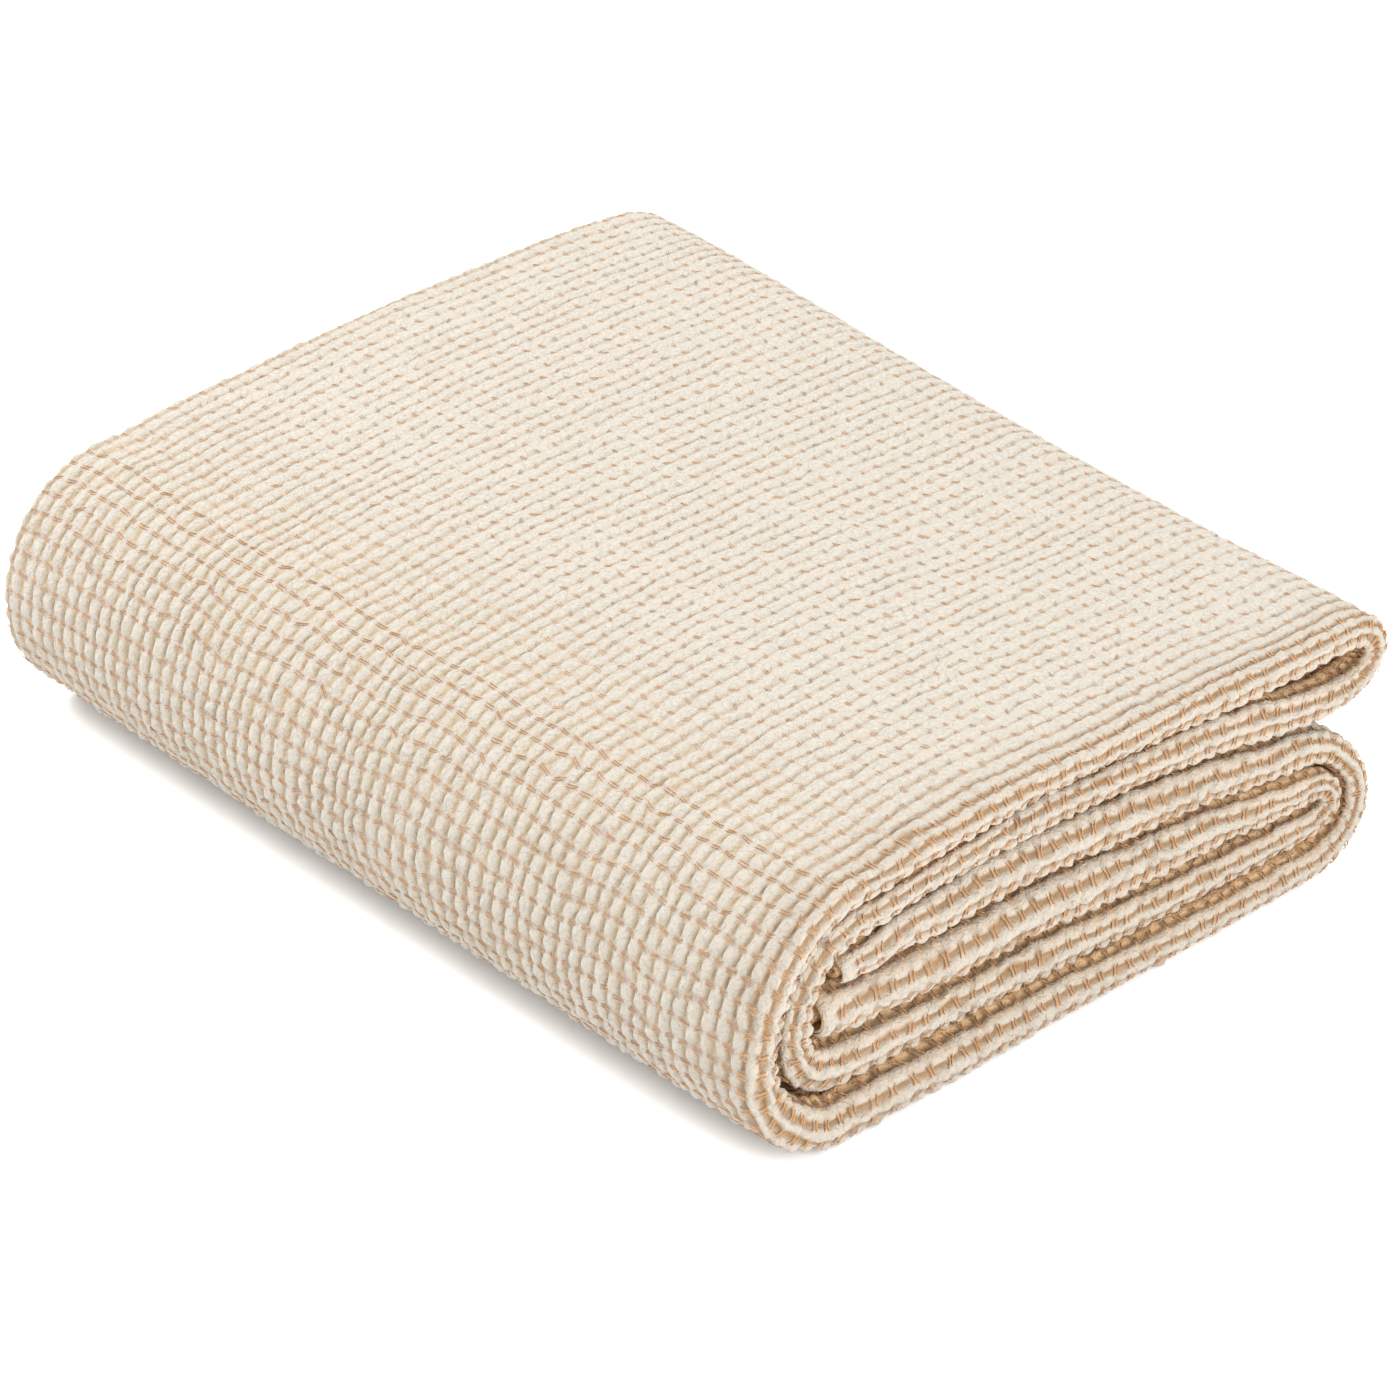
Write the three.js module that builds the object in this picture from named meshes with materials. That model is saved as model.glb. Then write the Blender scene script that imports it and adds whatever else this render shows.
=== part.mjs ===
import * as THREE from "three";

// A woven cotton bedspread folded into a pack: in quarters across its width, then in half and in
// thirds along its length. Millimetres. X runs across the pack, from the closed left side to the open
// right side, Y runs along it from the front end to the back end, and Z is up from where it lies.

// Driving sizes
const PACK_LENGTH = 600;
const PLY_PITCH = 0.5;
const PLY_FILL = 0.86;
const INNER_LOOP_BEHIND = 0.3;
const SHORT_HEM = 0.5;
const SHORTER_HEM = 0.75;

// How the pack changes from its front end to its back end
const BACK_RISE_RIGHT = 0.055;
const BACK_SINK_LEFT = 0.03;
const BACK_REACH_LOW = 7;
const BACK_REACH_TOP = 15;
const BACK_CORNER_IN = 10;

// Where each of these changes starts and where it is full, along x, y or z
const RISE_RIGHT_X = [-60, 180];
const SINK_LEFT_X = [60, -100];
const SINK_EDGE_X = [-230, -140];
const REACH_X = [-20, 220];
const REACH_TOP_Z = [60, 140];
const CORNER_X = [150, 240];
const CORNER_Y = [180, 300];

// How finely the folds are followed
const LAYER_STEPS = 7;
const QUARTER_TURN_STEPS = 4;
const OUTER_LOOP_STEPS = 6;
const INNER_LOOP_STEPS = 3;
const ALONG_SHARES = [0.25, 0.5, 0.75];

// The six layers of the folded band, numbered from the top. left and right are where the flat run of
// a layer ends. heights and halves, the middle line and half the thickness of the band, are given at
// its left end, at the four x below, and at its right end. front and back are how far its ends stand in.
const MID_X = [-100, -30, 50, 100];
const LAYERS = {
  first: {
    left: -146, right: 198, front: 1, back: 5,
    heights: [140.6, 144.4, 146, 143.5, 140.6, 138.6], halves: [8.8, 9.4, 9.5, 9.5, 9.5, 8.8],
  },
  second: {
    left: -142, right: 200, front: 3, back: 9,
    heights: [121.2, 124, 125.6, 121.3, 117, 101.2], halves: [8.6, 9, 9.4, 10.4, 10.2, 8.8],
  },
  third: {
    left: -160, right: 160, front: 2, back: 6,
    heights: [97.2, 99.8, 99.7, 93, 88, 80.5], halves: [7.6, 12, 13.6, 13, 12, 10],
  },
  fourth: {
    left: -173, right: 176, front: 0, back: 9,
    heights: [76, 70.3, 68.7, 64.8, 62.2, 55.5], halves: [13.4, 15, 15.2, 13.6, 12.2, 7.6],
  },
  fifth: {
    left: -156, right: 178, front: 1, back: 4,
    heights: [42.2, 40.5, 38.4, 33.2, 30.8, 30], halves: [12.8, 12.2, 12, 9.9, 9.1, 7.6],
  },
  sixth: {
    left: -160, right: 175, front: -6, back: 4,
    heights: [12.9, 12.8, 12.6, 10.8, 10, 9.8], halves: [13.2, 13, 12.8, 11, 10.2, 10],
  },
};

// The turns of the band between its layers, in the order the cloth runs. reach is the furthest x of
// its middle line, at height, where the band is pulled to half its own thickness either side.
const RUN = [
  { layer: "third", way: 1 },
  { reach: 214.5, height: 35, half: 8.8 },
  { layer: "sixth", way: -1 },
  { reach: -213.6, height: 66, half: 12.2 },
  { layer: "first", way: 1 },
  { reach: 226, height: 120.5, half: 8.8 },
  { layer: "second", way: -1 },
  { reach: -189.2, height: 71, half: 9.4 },
  { layer: "fifth", way: 1 },
  { reach: 195, height: 42.5, half: 7 },
  { layer: "fourth", way: -1 },
];

function smooth(value) {
  const t = Math.min(Math.max(value, 0), 1);
  return t * t * (3 - 2 * t);
}

function ramp(value, [start, full]) {
  return smooth((value - start) / (full - start));
}

function mix(a, b, share) {
  return a + (b - a) * share;
}

// A smooth line through the values of one row of the table, level at both of its ends
function along(xs, values, x) {
  const last = xs.length - 1;
  const slopes = values.map((value, i) =>
    i === 0 || i === last ? 0 : (values[i + 1] - values[i - 1]) / (xs[i + 1] - xs[i - 1]),
  );
  let i = 0;
  while (i < last - 1 && x > xs[i + 1]) i += 1;
  const width = xs[i + 1] - xs[i];
  const t = (x - xs[i]) / width;
  const rise = t * t * (3 - 2 * t);
  const leave = t * (1 - t) * (1 - t) * width * slopes[i];
  const arrive = t * t * (t - 1) * width * slopes[i + 1];
  return mix(values[i], values[i + 1], rise) + leave + arrive;
}

// One layer of the band, as points of its middle line
function layerPoints({ layer, way }) {
  const row = LAYERS[layer];
  const xs = [row.left, ...MID_X, row.right];
  const points = [];
  for (let i = 0; i <= LAYER_STEPS; i += 1) {
    const share = way > 0 ? i / LAYER_STEPS : 1 - i / LAYER_STEPS;
    const x = mix(row.left, row.right, share);
    points.push({
      x,
      z: along(xs, row.heights, x),
      half: along(xs, row.halves, x),
      front: row.front,
      back: row.back,
    });
  }
  return points;
}

// One point of a turn: a quarter ellipse from the end of a layer out to the reach of the turn
function turnPoint(end, other, turn, share) {
  const angle = (share * Math.PI) / 2;
  const pull = smooth(share);
  return {
    x: mix(end.x, turn.reach, Math.sin(angle)),
    z: mix(turn.height, end.z, Math.cos(angle)),
    half: mix(end.half, turn.half, pull),
    front: mix(end.front, (end.front + other.front) / 2, pull),
    back: mix(end.back, (end.back + other.back) / 2, pull),
  };
}

function turnPoints(before, after, turn) {
  const points = [];
  for (let i = 1; i <= QUARTER_TURN_STEPS; i += 1) {
    points.push(turnPoint(before, after, turn, i / QUARTER_TURN_STEPS));
  }
  for (let i = QUARTER_TURN_STEPS - 1; i >= 1; i -= 1) {
    points.push(turnPoint(after, before, turn, i / QUARTER_TURN_STEPS));
  }
  return points;
}

// The middle line of the band from one free end to the other, with the side that faces out
function bandPath() {
  const runs = RUN.map((step) => (step.layer ? layerPoints(step) : null));
  const path = [];
  RUN.forEach((step, i) => {
    if (step.layer) {
      path.push(...runs[i]);
    } else {
      const before = runs[i - 1][runs[i - 1].length - 1];
      path.push(...turnPoints(before, runs[i + 1][0], step));
    }
  });
  return path.map((point, i) => {
    const before = path[Math.max(i - 1, 0)];
    const after = path[Math.min(i + 1, path.length - 1)];
    const size = Math.hypot(after.x - before.x, after.z - before.z);
    return { ...point, outX: (before.z - after.z) / size, outZ: (after.x - before.x) / size };
  });
}

// The four plies of the band as one line, from hem to hem, seen from the closed end. share runs from
// the front to the back, lead and across are in half thicknesses, and the turn gives the ply's own side.
function plyLine() {
  const plyHalf = (PLY_FILL * PLY_PITCH) / 2;
  const outer = 1 - plyHalf;
  const inner = outer - PLY_PITCH;
  const backFold = (outer - inner) / 2 + plyHalf;
  const line = [];
  const straight = (shares, across, side) => {
    shares.forEach((share) => line.push({ share, lead: 0, across, sideLead: 0, sideAcross: side }));
  };
  const loop = (share, lead, across, radius, faces, side, from, to, steps) => {
    for (let i = 0; i <= steps; i += 1) {
      const angle = mix(from, to, i / steps);
      const c = Math.cos(angle);
      const s = Math.sin(angle);
      line.push({
        share,
        lead: lead + faces * radius * c,
        across: across + radius * s,
        sideLead: side * faces * c,
        sideAcross: side * s,
      });
    }
  };
  const up = Math.PI / 2;
  const backward = [...ALONG_SHARES].reverse();
  line.push({ share: 1, lead: -SHORT_HEM, across: -outer, sideLead: 0, sideAcross: -1 });
  straight(backward, -outer, -1);
  loop(0, 1, 0, outer, -1, 1, -up, up, OUTER_LOOP_STEPS);
  straight(ALONG_SHARES, outer, 1);
  loop(1, -backFold, (outer + inner) / 2, (outer - inner) / 2, 1, 1, up, -up, INNER_LOOP_STEPS);
  straight(backward, inner, -1);
  loop(0, 1 + INNER_LOOP_BEHIND, 0, inner, -1, -1, up, -up, INNER_LOOP_STEPS);
  straight(ALONG_SHARES, -inner, 1);
  line.push({ share: 1, lead: -SHORTER_HEM, across: -inner, sideLead: 0, sideAcross: 1 });
  const face = (sign) =>
    line.map((p) => ({
      share: p.share,
      lead: p.lead + sign * plyHalf * p.sideLead,
      across: p.across + sign * plyHalf * p.sideAcross,
    }));
  return [...face(1), ...face(-1).reverse()];
}

// The pack stands a little higher and further out to the right at its back end, where that corner is
// drawn in, and lies flat below
function settle(x, y, z) {
  const back = smooth(y / PACK_LENGTH + 0.5);
  const left = ramp(x, SINK_LEFT_X) * ramp(x, SINK_EDGE_X);
  const rise = 1 + back * (BACK_RISE_RIGHT * ramp(x, RISE_RIGHT_X) - BACK_SINK_LEFT * left);
  const furthest = BACK_REACH_LOW + BACK_REACH_TOP * ramp(z, REACH_TOP_Z);
  const reach = ramp(x, REACH_X) * back * back * furthest;
  const corner = BACK_CORNER_IN * ramp(x, CORNER_X) * ramp(y, CORNER_Y);
  return [x + reach, y - corner, Math.max(z * rise, 0)];
}

function plyRing(point, section) {
  const front = point.front - PACK_LENGTH / 2;
  const back = PACK_LENGTH / 2 - point.back;
  return section.map(({ share, lead, across }) =>
    settle(
      point.x + point.outX * across * point.half,
      mix(front, back, share) + lead * point.half,
      point.z + point.outZ * across * point.half,
    ),
  );
}

// The whole cloth as one closed sheet: the ply line carried along the band, closed at both free ends
function foldedSheet() {
  const section = plyLine();
  const rings = bandPath().map((point) => plyRing(point, section));
  const around = section.length;
  const faces = [];
  const quad = (a, b, c, d) => faces.push(a, c, b, a, d, c);
  for (let i = 0; i + 1 < rings.length; i += 1) {
    for (let j = 0; j < around; j += 1) {
      const next = (j + 1) % around;
      quad(i * around + j, i * around + next, (i + 1) * around + next, (i + 1) * around + j);
    }
  }
  const last = (rings.length - 1) * around;
  for (let j = 0; j + 1 < around / 2; j += 1) {
    const other = around - 1 - j;
    quad(j, other, other - 1, j + 1);
    quad(last + j, last + j + 1, last + other - 1, last + other);
  }
  const geometry = new THREE.BufferGeometry();
  geometry.setAttribute("position", new THREE.Float32BufferAttribute(rings.flat(2), 3));
  geometry.setIndex(faces);
  geometry.computeBoundingBox();
  const { min, max } = geometry.boundingBox;
  geometry.translate(-(min.x + max.x) / 2, -(min.y + max.y) / 2, 0);
  geometry.computeVertexNormals();
  return geometry;
}

const bedspread = new THREE.Mesh(
  foldedSheet(),
  new THREE.MeshStandardMaterial({ color: 0xeae0cf, roughness: 0.95, metalness: 0 }),
);
bedspread.name = "bedspread";

const pack = new THREE.Group();
pack.name = "folded_bedspread";
pack.add(bedspread);

export default pack;
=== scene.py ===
"""A folded cotton bedspread: its cloth, puffed weave and binding threads, with floor, light and camera."""

import math
from collections import namedtuple

import bpy
import numpy as np
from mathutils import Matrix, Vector


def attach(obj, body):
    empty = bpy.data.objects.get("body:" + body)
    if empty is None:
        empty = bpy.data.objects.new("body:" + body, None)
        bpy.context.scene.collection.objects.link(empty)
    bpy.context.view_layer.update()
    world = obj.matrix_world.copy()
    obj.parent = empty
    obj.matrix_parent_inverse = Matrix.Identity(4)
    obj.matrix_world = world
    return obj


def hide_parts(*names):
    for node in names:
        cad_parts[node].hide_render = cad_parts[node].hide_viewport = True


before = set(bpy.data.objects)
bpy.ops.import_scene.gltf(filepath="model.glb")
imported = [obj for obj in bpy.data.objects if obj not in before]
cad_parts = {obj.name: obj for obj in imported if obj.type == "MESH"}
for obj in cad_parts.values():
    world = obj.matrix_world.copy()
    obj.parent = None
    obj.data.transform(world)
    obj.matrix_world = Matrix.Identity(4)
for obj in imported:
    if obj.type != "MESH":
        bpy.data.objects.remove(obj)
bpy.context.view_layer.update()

# Sizes of the folded pack, in millimetres, as in the solid
MM = 0.001
PACK_LENGTH = 600.0
PLY_PITCH = 0.5
PLY_FILL = 0.86
INNER_LOOP_BEHIND = 0.3
SHORT_HEM = 0.5
SHORTER_HEM = 0.75
BACK_RISE_RIGHT = 0.055
BACK_SINK_LEFT = 0.03
BACK_REACH_LOW = 7.0
BACK_REACH_TOP = 15.0
BACK_CORNER_IN = 10.0

# Where each of these changes of the back end starts and where it is full, along x, y or z
RISE_RIGHT_X = (-60.0, 180.0)
SINK_LEFT_X = (60.0, -100.0)
SINK_EDGE_X = (-230.0, -140.0)
REACH_X = (-20.0, 220.0)
REACH_TOP_Z = (60.0, 140.0)
CORNER_X = (150.0, 240.0)
CORNER_Y = (180.0, 300.0)

# The six layers of the folded band, numbered from the top: where each flat run ends, how far its two ends
# stand in, and the heights and half thicknesses at its left end, at the four x below and at its right end
MID_X = (-100.0, -30.0, 50.0, 100.0)
LAYERS = {
    "first": {
        "left": -146, "right": 198, "front": 1, "back": 5,
        "heights": (140.6, 144.4, 146, 143.5, 140.6, 138.6), "halves": (8.8, 9.4, 9.5, 9.5, 9.5, 8.8),
    },
    "second": {
        "left": -142, "right": 200, "front": 3, "back": 9,
        "heights": (121.2, 124, 125.6, 121.3, 117, 101.2), "halves": (8.6, 9, 9.4, 10.4, 10.2, 8.8),
    },
    "third": {
        "left": -160, "right": 160, "front": 2, "back": 6,
        "heights": (97.2, 99.8, 99.7, 93, 88, 80.5), "halves": (7.6, 12, 13.6, 13, 12, 10),
    },
    "fourth": {
        "left": -173, "right": 176, "front": 0, "back": 9,
        "heights": (76, 70.3, 68.7, 64.8, 62.2, 55.5), "halves": (13.4, 15, 15.2, 13.6, 12.2, 7.6),
    },
    "fifth": {
        "left": -156, "right": 178, "front": 1, "back": 4,
        "heights": (42.2, 40.5, 38.4, 33.2, 30.8, 30), "halves": (12.8, 12.2, 12, 9.9, 9.1, 7.6),
    },
    "sixth": {
        "left": -160, "right": 175, "front": -6, "back": 4,
        "heights": (12.9, 12.8, 12.6, 10.8, 10, 9.8), "halves": (13.2, 13, 12.8, 11, 10.2, 10),
    },
}

# The layers in the order the cloth runs, with the way it runs, and the turns between them
RUN = (
    {"name": "third", "way": 1},
    {"name": "lower_right_turn", "reach": 214.5, "height": 35, "half": 8.8},
    {"name": "sixth", "way": -1},
    {"name": "outer_wrap", "reach": -213.6, "height": 66, "half": 12.2},
    {"name": "first", "way": 1},
    {"name": "upper_right_turn", "reach": 226, "height": 120.5, "half": 8.8},
    {"name": "second", "way": -1},
    {"name": "inner_wrap", "reach": -189.2, "height": 71, "half": 9.4},
    {"name": "fifth", "way": 1},
    {"name": "inner_right_turn", "reach": 195, "height": 42.5, "half": 7},
    {"name": "fourth", "way": -1},
)
LAYER_SAMPLES = 160
TURN_SAMPLES = 80
SAMPLES_PER_BEAD = 4

# The weave: puffed ribs along the band, pinched into beads by fine threads across them
BEADS = 256
STRAIGHT_RIBS = 61
LOOP_RIBS = 1.56
BACK_RIBS = 1.4
VALLEY = 0.5
BACK_FOLD_RIB = LOOP_RIBS + STRAIGHT_RIBS
LAST_RIB = BACK_FOLD_RIB + BACK_RIBS
BEAD_LENGTH = 10.4
WRAP_BEAD_LENGTH = 12.0
PULLED_X = (-60.0, -130.0)

# Depth of the weave: the most in millimetres and half thicknesses, and the shares on the top and the wrap
RELIEF = 4.0
RELIEF_OF_HALF = 0.33
TOP_RELIEF_SHARE = 0.42
WRAP_RELIEF_SHARE = 0.80

# Share of the band's half thickness that its plies take
PLY_HALF = PLY_FILL * PLY_PITCH / 2.0
PLY_OUTER = 1.0 - PLY_HALF
PLY_INNER = PLY_OUTER - PLY_PITCH
BACK_FOLD_MIDDLE = (PLY_OUTER + PLY_INNER) / 2.0
BACK_PLY_RADIUS = (PLY_OUTER - PLY_INNER) / 2.0
BACK_FOLD_RADIUS = BACK_PLY_RADIUS + PLY_HALF


def smooth(value):
    """An S-shaped step from 0 to 1."""
    t = np.clip(value, 0.0, 1.0)
    return t * t * (3.0 - 2.0 * t)


def ramp(value, span):
    """An S-shaped step from 0 at the start of the span to 1 at its end."""
    return smooth((value - span[0]) / (span[1] - span[0]))


def mix(a, b, share):
    """The value that share of the way from a to b."""
    return a + (b - a) * share


def bell(value, reach):
    """1 at zero, falling off on both sides over about the reach."""
    return np.exp(-((value / reach) ** 2))


def row_curve(xs, values, x):
    """A smooth line through one row of the table, level at both of its ends."""
    xs = np.asarray(xs, float)
    values = np.asarray(values, float)
    slopes = np.zeros_like(values)
    slopes[1:-1] = (values[2:] - values[:-2]) / (xs[2:] - xs[:-2])
    i = np.clip(np.searchsorted(xs, x, side="right") - 1, 0, len(xs) - 2)
    width = xs[i + 1] - xs[i]
    t = (x - xs[i]) / width
    leave = t * (1.0 - t) ** 2 * width * slopes[i]
    arrive = t * t * (t - 1.0) * width * slopes[i + 1]
    return mix(values[i], values[i + 1], smooth(t)) + leave + arrive


# One place of the band: its middle line, half thickness, how far its front and back ends stand in, how far
# round a turn it is, and its outward side
Band = namedtuple("Band", "x z half front back turn out_x out_z")


def layer_rows(name, way):
    """One layer as rows of x, z, half thickness, front and back, and 0 for no turn."""
    row = LAYERS[name]
    x = np.linspace(row["left"], row["right"], LAYER_SAMPLES + 1)[::way]
    xs = (row["left"], *MID_X, row["right"])
    same = np.ones_like(x)
    z = row_curve(xs, row["heights"], x)
    half = row_curve(xs, row["halves"], x)
    return np.stack([x, z, half, row["front"] * same, row["back"] * same, 0 * same], -1)


def turn_rows(before, after, turn):
    """One turn as rows like a layer's: two quarter ellipses, and how far round it is in the last column."""
    share = np.linspace(0.0, 1.0, TURN_SAMPLES + 1)
    angle = share * math.pi / 2
    pull = smooth(share)
    middle_front, middle_back = (before + after)[3:5] / 2.0
    quarters = []
    for end in (before, after):
        end_x, end_z, end_half, end_front, end_back, _ = end
        x = mix(end_x, turn["reach"], np.sin(angle))
        z = mix(turn["height"], end_z, np.cos(angle))
        half = mix(end_half, turn["half"], pull)
        front = mix(end_front, middle_front, pull)
        back = mix(end_back, middle_back, pull)
        quarters.append(np.stack([x, z, half, front, back, pull], -1))
    return np.concatenate([quarters[0][1:], quarters[1][::-1][1:-1]])


def band_path():
    """The whole middle line of the band with its outward side, and how many beads of the weave lie before
    each point and each run.

    They are counted along the face that is the outside of a turn, and are longer where the closed left side
    pulls the cloth.
    """
    runs = {step["name"]: layer_rows(step["name"], step["way"]) for step in RUN if "way" in step}
    rows = []
    spans = {}
    count = 0
    for i, step in enumerate(RUN):
        if "way" in step:
            part = runs[step["name"]]
        else:
            part = turn_rows(runs[RUN[i - 1]["name"]][-1], runs[RUN[i + 1]["name"]][0], step)
        rows.append(part)
        spans[step["name"]] = (count, count + len(part) - 1)
        count += len(part)
    path = np.concatenate(rows)
    direction = np.gradient(path[:, :2], axis=0)
    direction /= np.linalg.norm(direction, axis=1)[:, None]
    outward = np.stack([-direction[:, 1], direction[:, 0]], -1)
    sides = [path[:, :2] + sign * path[:, 2:3] * outward for sign in (1.0, -1.0)]
    steps = [np.hypot(*np.diff(side, axis=0).T) for side in sides]
    bead_length = mix(BEAD_LENGTH, WRAP_BEAD_LENGTH, ramp(path[1:, 0], PULLED_X))
    beads = np.concatenate([[0.0], np.cumsum(np.maximum(*steps) / bead_length)])
    beads *= BEADS / beads[-1]
    spans = {name: (beads[first], beads[last]) for name, (first, last) in spans.items()}
    return beads, np.concatenate([path, outward], 1), spans


PATH_BEADS, PATH_ROWS, SPANS = band_path()


def at_bead(u):
    """The band at u beads along it."""
    band = Band(*(np.interp(u, PATH_BEADS, column) for column in PATH_ROWS.T))
    size = np.hypot(band.out_x, band.out_z)
    return band._replace(out_x=band.out_x / size, out_z=band.out_z / size)


def settle(x, y, z):
    """The pack stands a little higher and further out to the right at its back end, where that corner is
    drawn in, and lies flat below."""
    back = smooth(y / PACK_LENGTH + 0.5)
    left = ramp(x, SINK_LEFT_X) * ramp(x, SINK_EDGE_X)
    rise = 1.0 + back * (BACK_RISE_RIGHT * ramp(x, RISE_RIGHT_X) - BACK_SINK_LEFT * left)
    furthest = BACK_REACH_LOW + BACK_REACH_TOP * ramp(z, REACH_TOP_Z)
    reach = ramp(x, REACH_X) * back * back * furthest
    corner = BACK_CORNER_IN * ramp(x, CORNER_X) * ramp(y, CORNER_Y)
    return np.stack([x + reach, y - corner, np.maximum(z * rise, 0.0)], -1)


def place(band, y, across):
    """Points of the pack at lengths y and distances across the band, both in millimetres."""
    return settle(band.x + band.out_x * across, y, band.z + band.out_z * across)


def shell(u, v, lift):
    """Points lift millimetres above the band's outside, u beads along it and v ribs from its front edge.

    v is positive on the outward side, up to and round the back fold, and negative on the other side.
    """
    band = at_bead(u)
    half = band.half
    front = band.front - PACK_LENGTH / 2.0
    back = PACK_LENGTH / 2.0 - band.back
    side = np.where(v < 0.0, -1.0, 1.0)
    ribs = np.abs(v)
    loop = np.clip(ribs / LOOP_RIBS, 0.0, 1.0) * math.pi / 2
    straight = np.clip((ribs - LOOP_RIBS) / STRAIGHT_RIBS, 0.0, 1.0)
    fold = np.clip((ribs - BACK_FOLD_RIB) / BACK_RIBS, 0.0, 1.0) * math.pi
    fold = np.where(side > 0.0, fold, 0.0)
    start = front + half
    stop = np.where(side > 0.0, back - BACK_FOLD_RADIUS * half, back - SHORT_HEM * half)
    in_loop = ribs < LOOP_RIBS
    y = np.where(in_loop, start - (half + lift) * np.cos(loop), mix(start, stop, straight))
    across = np.where(in_loop, side * (half + lift) * np.sin(loop), side * (half + lift))
    radius = BACK_FOLD_RADIUS * half + lift
    in_fold = fold > 0.0
    y = np.where(in_fold, stop + radius * np.sin(fold), y)
    across = np.where(in_fold, BACK_FOLD_MIDDLE * half + radius * np.cos(fold), across)
    return place(band, y, across)


# Spread of the weave's uneven values, with spare cells past its last bead and rib
SEED = 11
SPARE_BEADS = 40
SPARE_RIBS = 20
FULLNESS_SPREAD = 0.20
WIDTH_SPREAD = 0.09
BEAD_LEAN_SPREAD = 0.06
RIB_LEAN_SPREAD = 0.08
KNOT_RANGE = (0.15, 1.0)
TIE_RANGE = (0.35, 1.35)

# Random values for the weave, one for each crossing of a rib and a thread
random = np.random.default_rng(SEED)
CELLS = (BEADS + SPARE_BEADS, 2 * (STRAIGHT_RIBS + SPARE_RIBS))
BEAD_FULLNESS = random.normal(1.0, FULLNESS_SPREAD, CELLS)
BEAD_WIDTH = random.normal(1.0, WIDTH_SPREAD, CELLS)
BEAD_LEAN = random.normal(0.0, BEAD_LEAN_SPREAD, CELLS)
RIB_LEAN = random.normal(0.0, RIB_LEAN_SPREAD, CELLS)
KNOT_STRENGTH = random.uniform(*KNOT_RANGE, CELLS)
TIE_STRENGTH = random.uniform(*TIE_RANGE, CELLS)
SWAY_ALONG = random.normal(0.0, 1.0, CELLS)
SWAY_ACROSS = random.normal(0.0, 1.0, CELLS)
CRINKLE = random.normal(0.0, 1.0, CELLS)
PRESSED = random.normal(0.0, 1.0, CELLS)


def cell_of(u, v):
    """Place in the random tables of whole numbers u and v."""
    return np.mod(u.astype(int), CELLS[0]), np.mod(v.astype(int), CELLS[1])


def soft_noise(table, u, v):
    """Smoothly joined random values, one for each whole u and v."""
    i = np.floor(u)
    j = np.floor(v)
    a = smooth(u - i)
    low = mix(table[cell_of(i, j)], table[cell_of(i + 1, j)], a)
    high = mix(table[cell_of(i, j + 1)], table[cell_of(i + 1, j + 1)], a)
    return mix(low, high, smooth(v - j))


# How far the weave sways, in cells, over how many beads and ribs, and where that fades out
SWAY = 0.16
ALONG_BEADS = 6.0
ALONG_RIBS = 4.0
ACROSS_BEADS = 8.0
ACROSS_RIBS = 5.0
SWAY_FADE_RIBS = 3.0
SWAY_FADE_BEADS = 2.0


def lattice(u, v):
    """Where the crossings of ribs and threads really lie: they sway and lean a little."""
    du = SWAY * soft_noise(SWAY_ALONG, u / ALONG_BEADS, v / ALONG_RIBS) + soft_noise(BEAD_LEAN, u, v)
    dv = SWAY * soft_noise(SWAY_ACROSS, u / ACROSS_BEADS, v / ACROSS_RIBS) + soft_noise(RIB_LEAN, u, v)
    fade = smooth((LAST_RIB - v) / SWAY_FADE_RIBS)
    ends = smooth(u / SWAY_FADE_BEADS) * smooth((BEADS - u) / SWAY_FADE_BEADS)
    return u + du * ends, v + dv * fade


# How far the weave is pulled open in each place, and over which x and ribs
OPENED_X = (-40.0, -170.0)
EDGE_RIBS = 3.2
BACK_OPEN_RIBS = (BACK_FOLD_RIB - 2.0, BACK_FOLD_RIB)
LEFT_OPEN = 0.9
TURN_OPEN = 0.6
BACK_OPEN = 0.5
LEAST_OPEN = 0.08


def pull_open(u, v):
    """How far the cloth is pulled open over the front edge, and round the closed left side and the turns."""
    band = at_bead(u)
    edge = bell(np.abs(v), EDGE_RIBS)
    left = LEFT_OPEN * ramp(band.x, OPENED_X)
    back = BACK_OPEN * ramp(v, BACK_OPEN_RIBS)
    turned = np.maximum(np.maximum(left, TURN_OPEN * band.turn), back)
    return edge, mix(LEAST_OPEN, 1.0, turned)


# Painted warm shade on cloth in between the layers, where little light reaches: over which beads, ribs and
# share of the length it comes and goes
OUTSIDE_BEADS = 3.0
GAP_SHADE_RIBS = (0.65, 2.05)
GAP_SHADE_SHARES = (0.3, 0.8)


def hidden_side(u, v):
    """1 on the sides of the band that lie in between the layers, 0 on the outside of the pack."""
    opens = SPANS["lower_right_turn"][0]
    closes = SPANS["upper_right_turn"][1]
    opened = ramp(u, (opens - OUTSIDE_BEADS, opens + OUTSIDE_BEADS))
    closed = ramp(u, (closes - OUTSIDE_BEADS, closes + OUTSIDE_BEADS))
    return np.where(v < 0.0, 1.0, 1.0 - opened * (1.0 - closed))


def gap_shade_near_front(along):
    """Strength of the painted warm shade between the layers: 1 towards the front of the pack and 0 towards
    its back, by the share of its length.
    """
    return 1.0 - ramp(along, GAP_SHADE_SHARES)


def painted_fold_shade(u, v):
    """Painted warm shade: 1 on cloth that lies in between the layers near the front, 0 where it is open to
    the light.
    """
    ribs = np.abs(v)
    return hidden_side(u, v) * gap_shade_near_front(ribs / STRAIGHT_RIBS) * ramp(ribs, GAP_SHADE_RIBS)


# How far the layers swell towards each other behind the front edge, in millimetres, and where, in ribs
GAP_KEPT = 1.6
SWELL_MOST = 2.4
SWELL_STARTS = (0.3, 1.3)
SWELL_ENDS = (3.0, 2.2)
SAME_LAYER_BEADS = 4.0
SWELL_AVERAGED = 9


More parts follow.
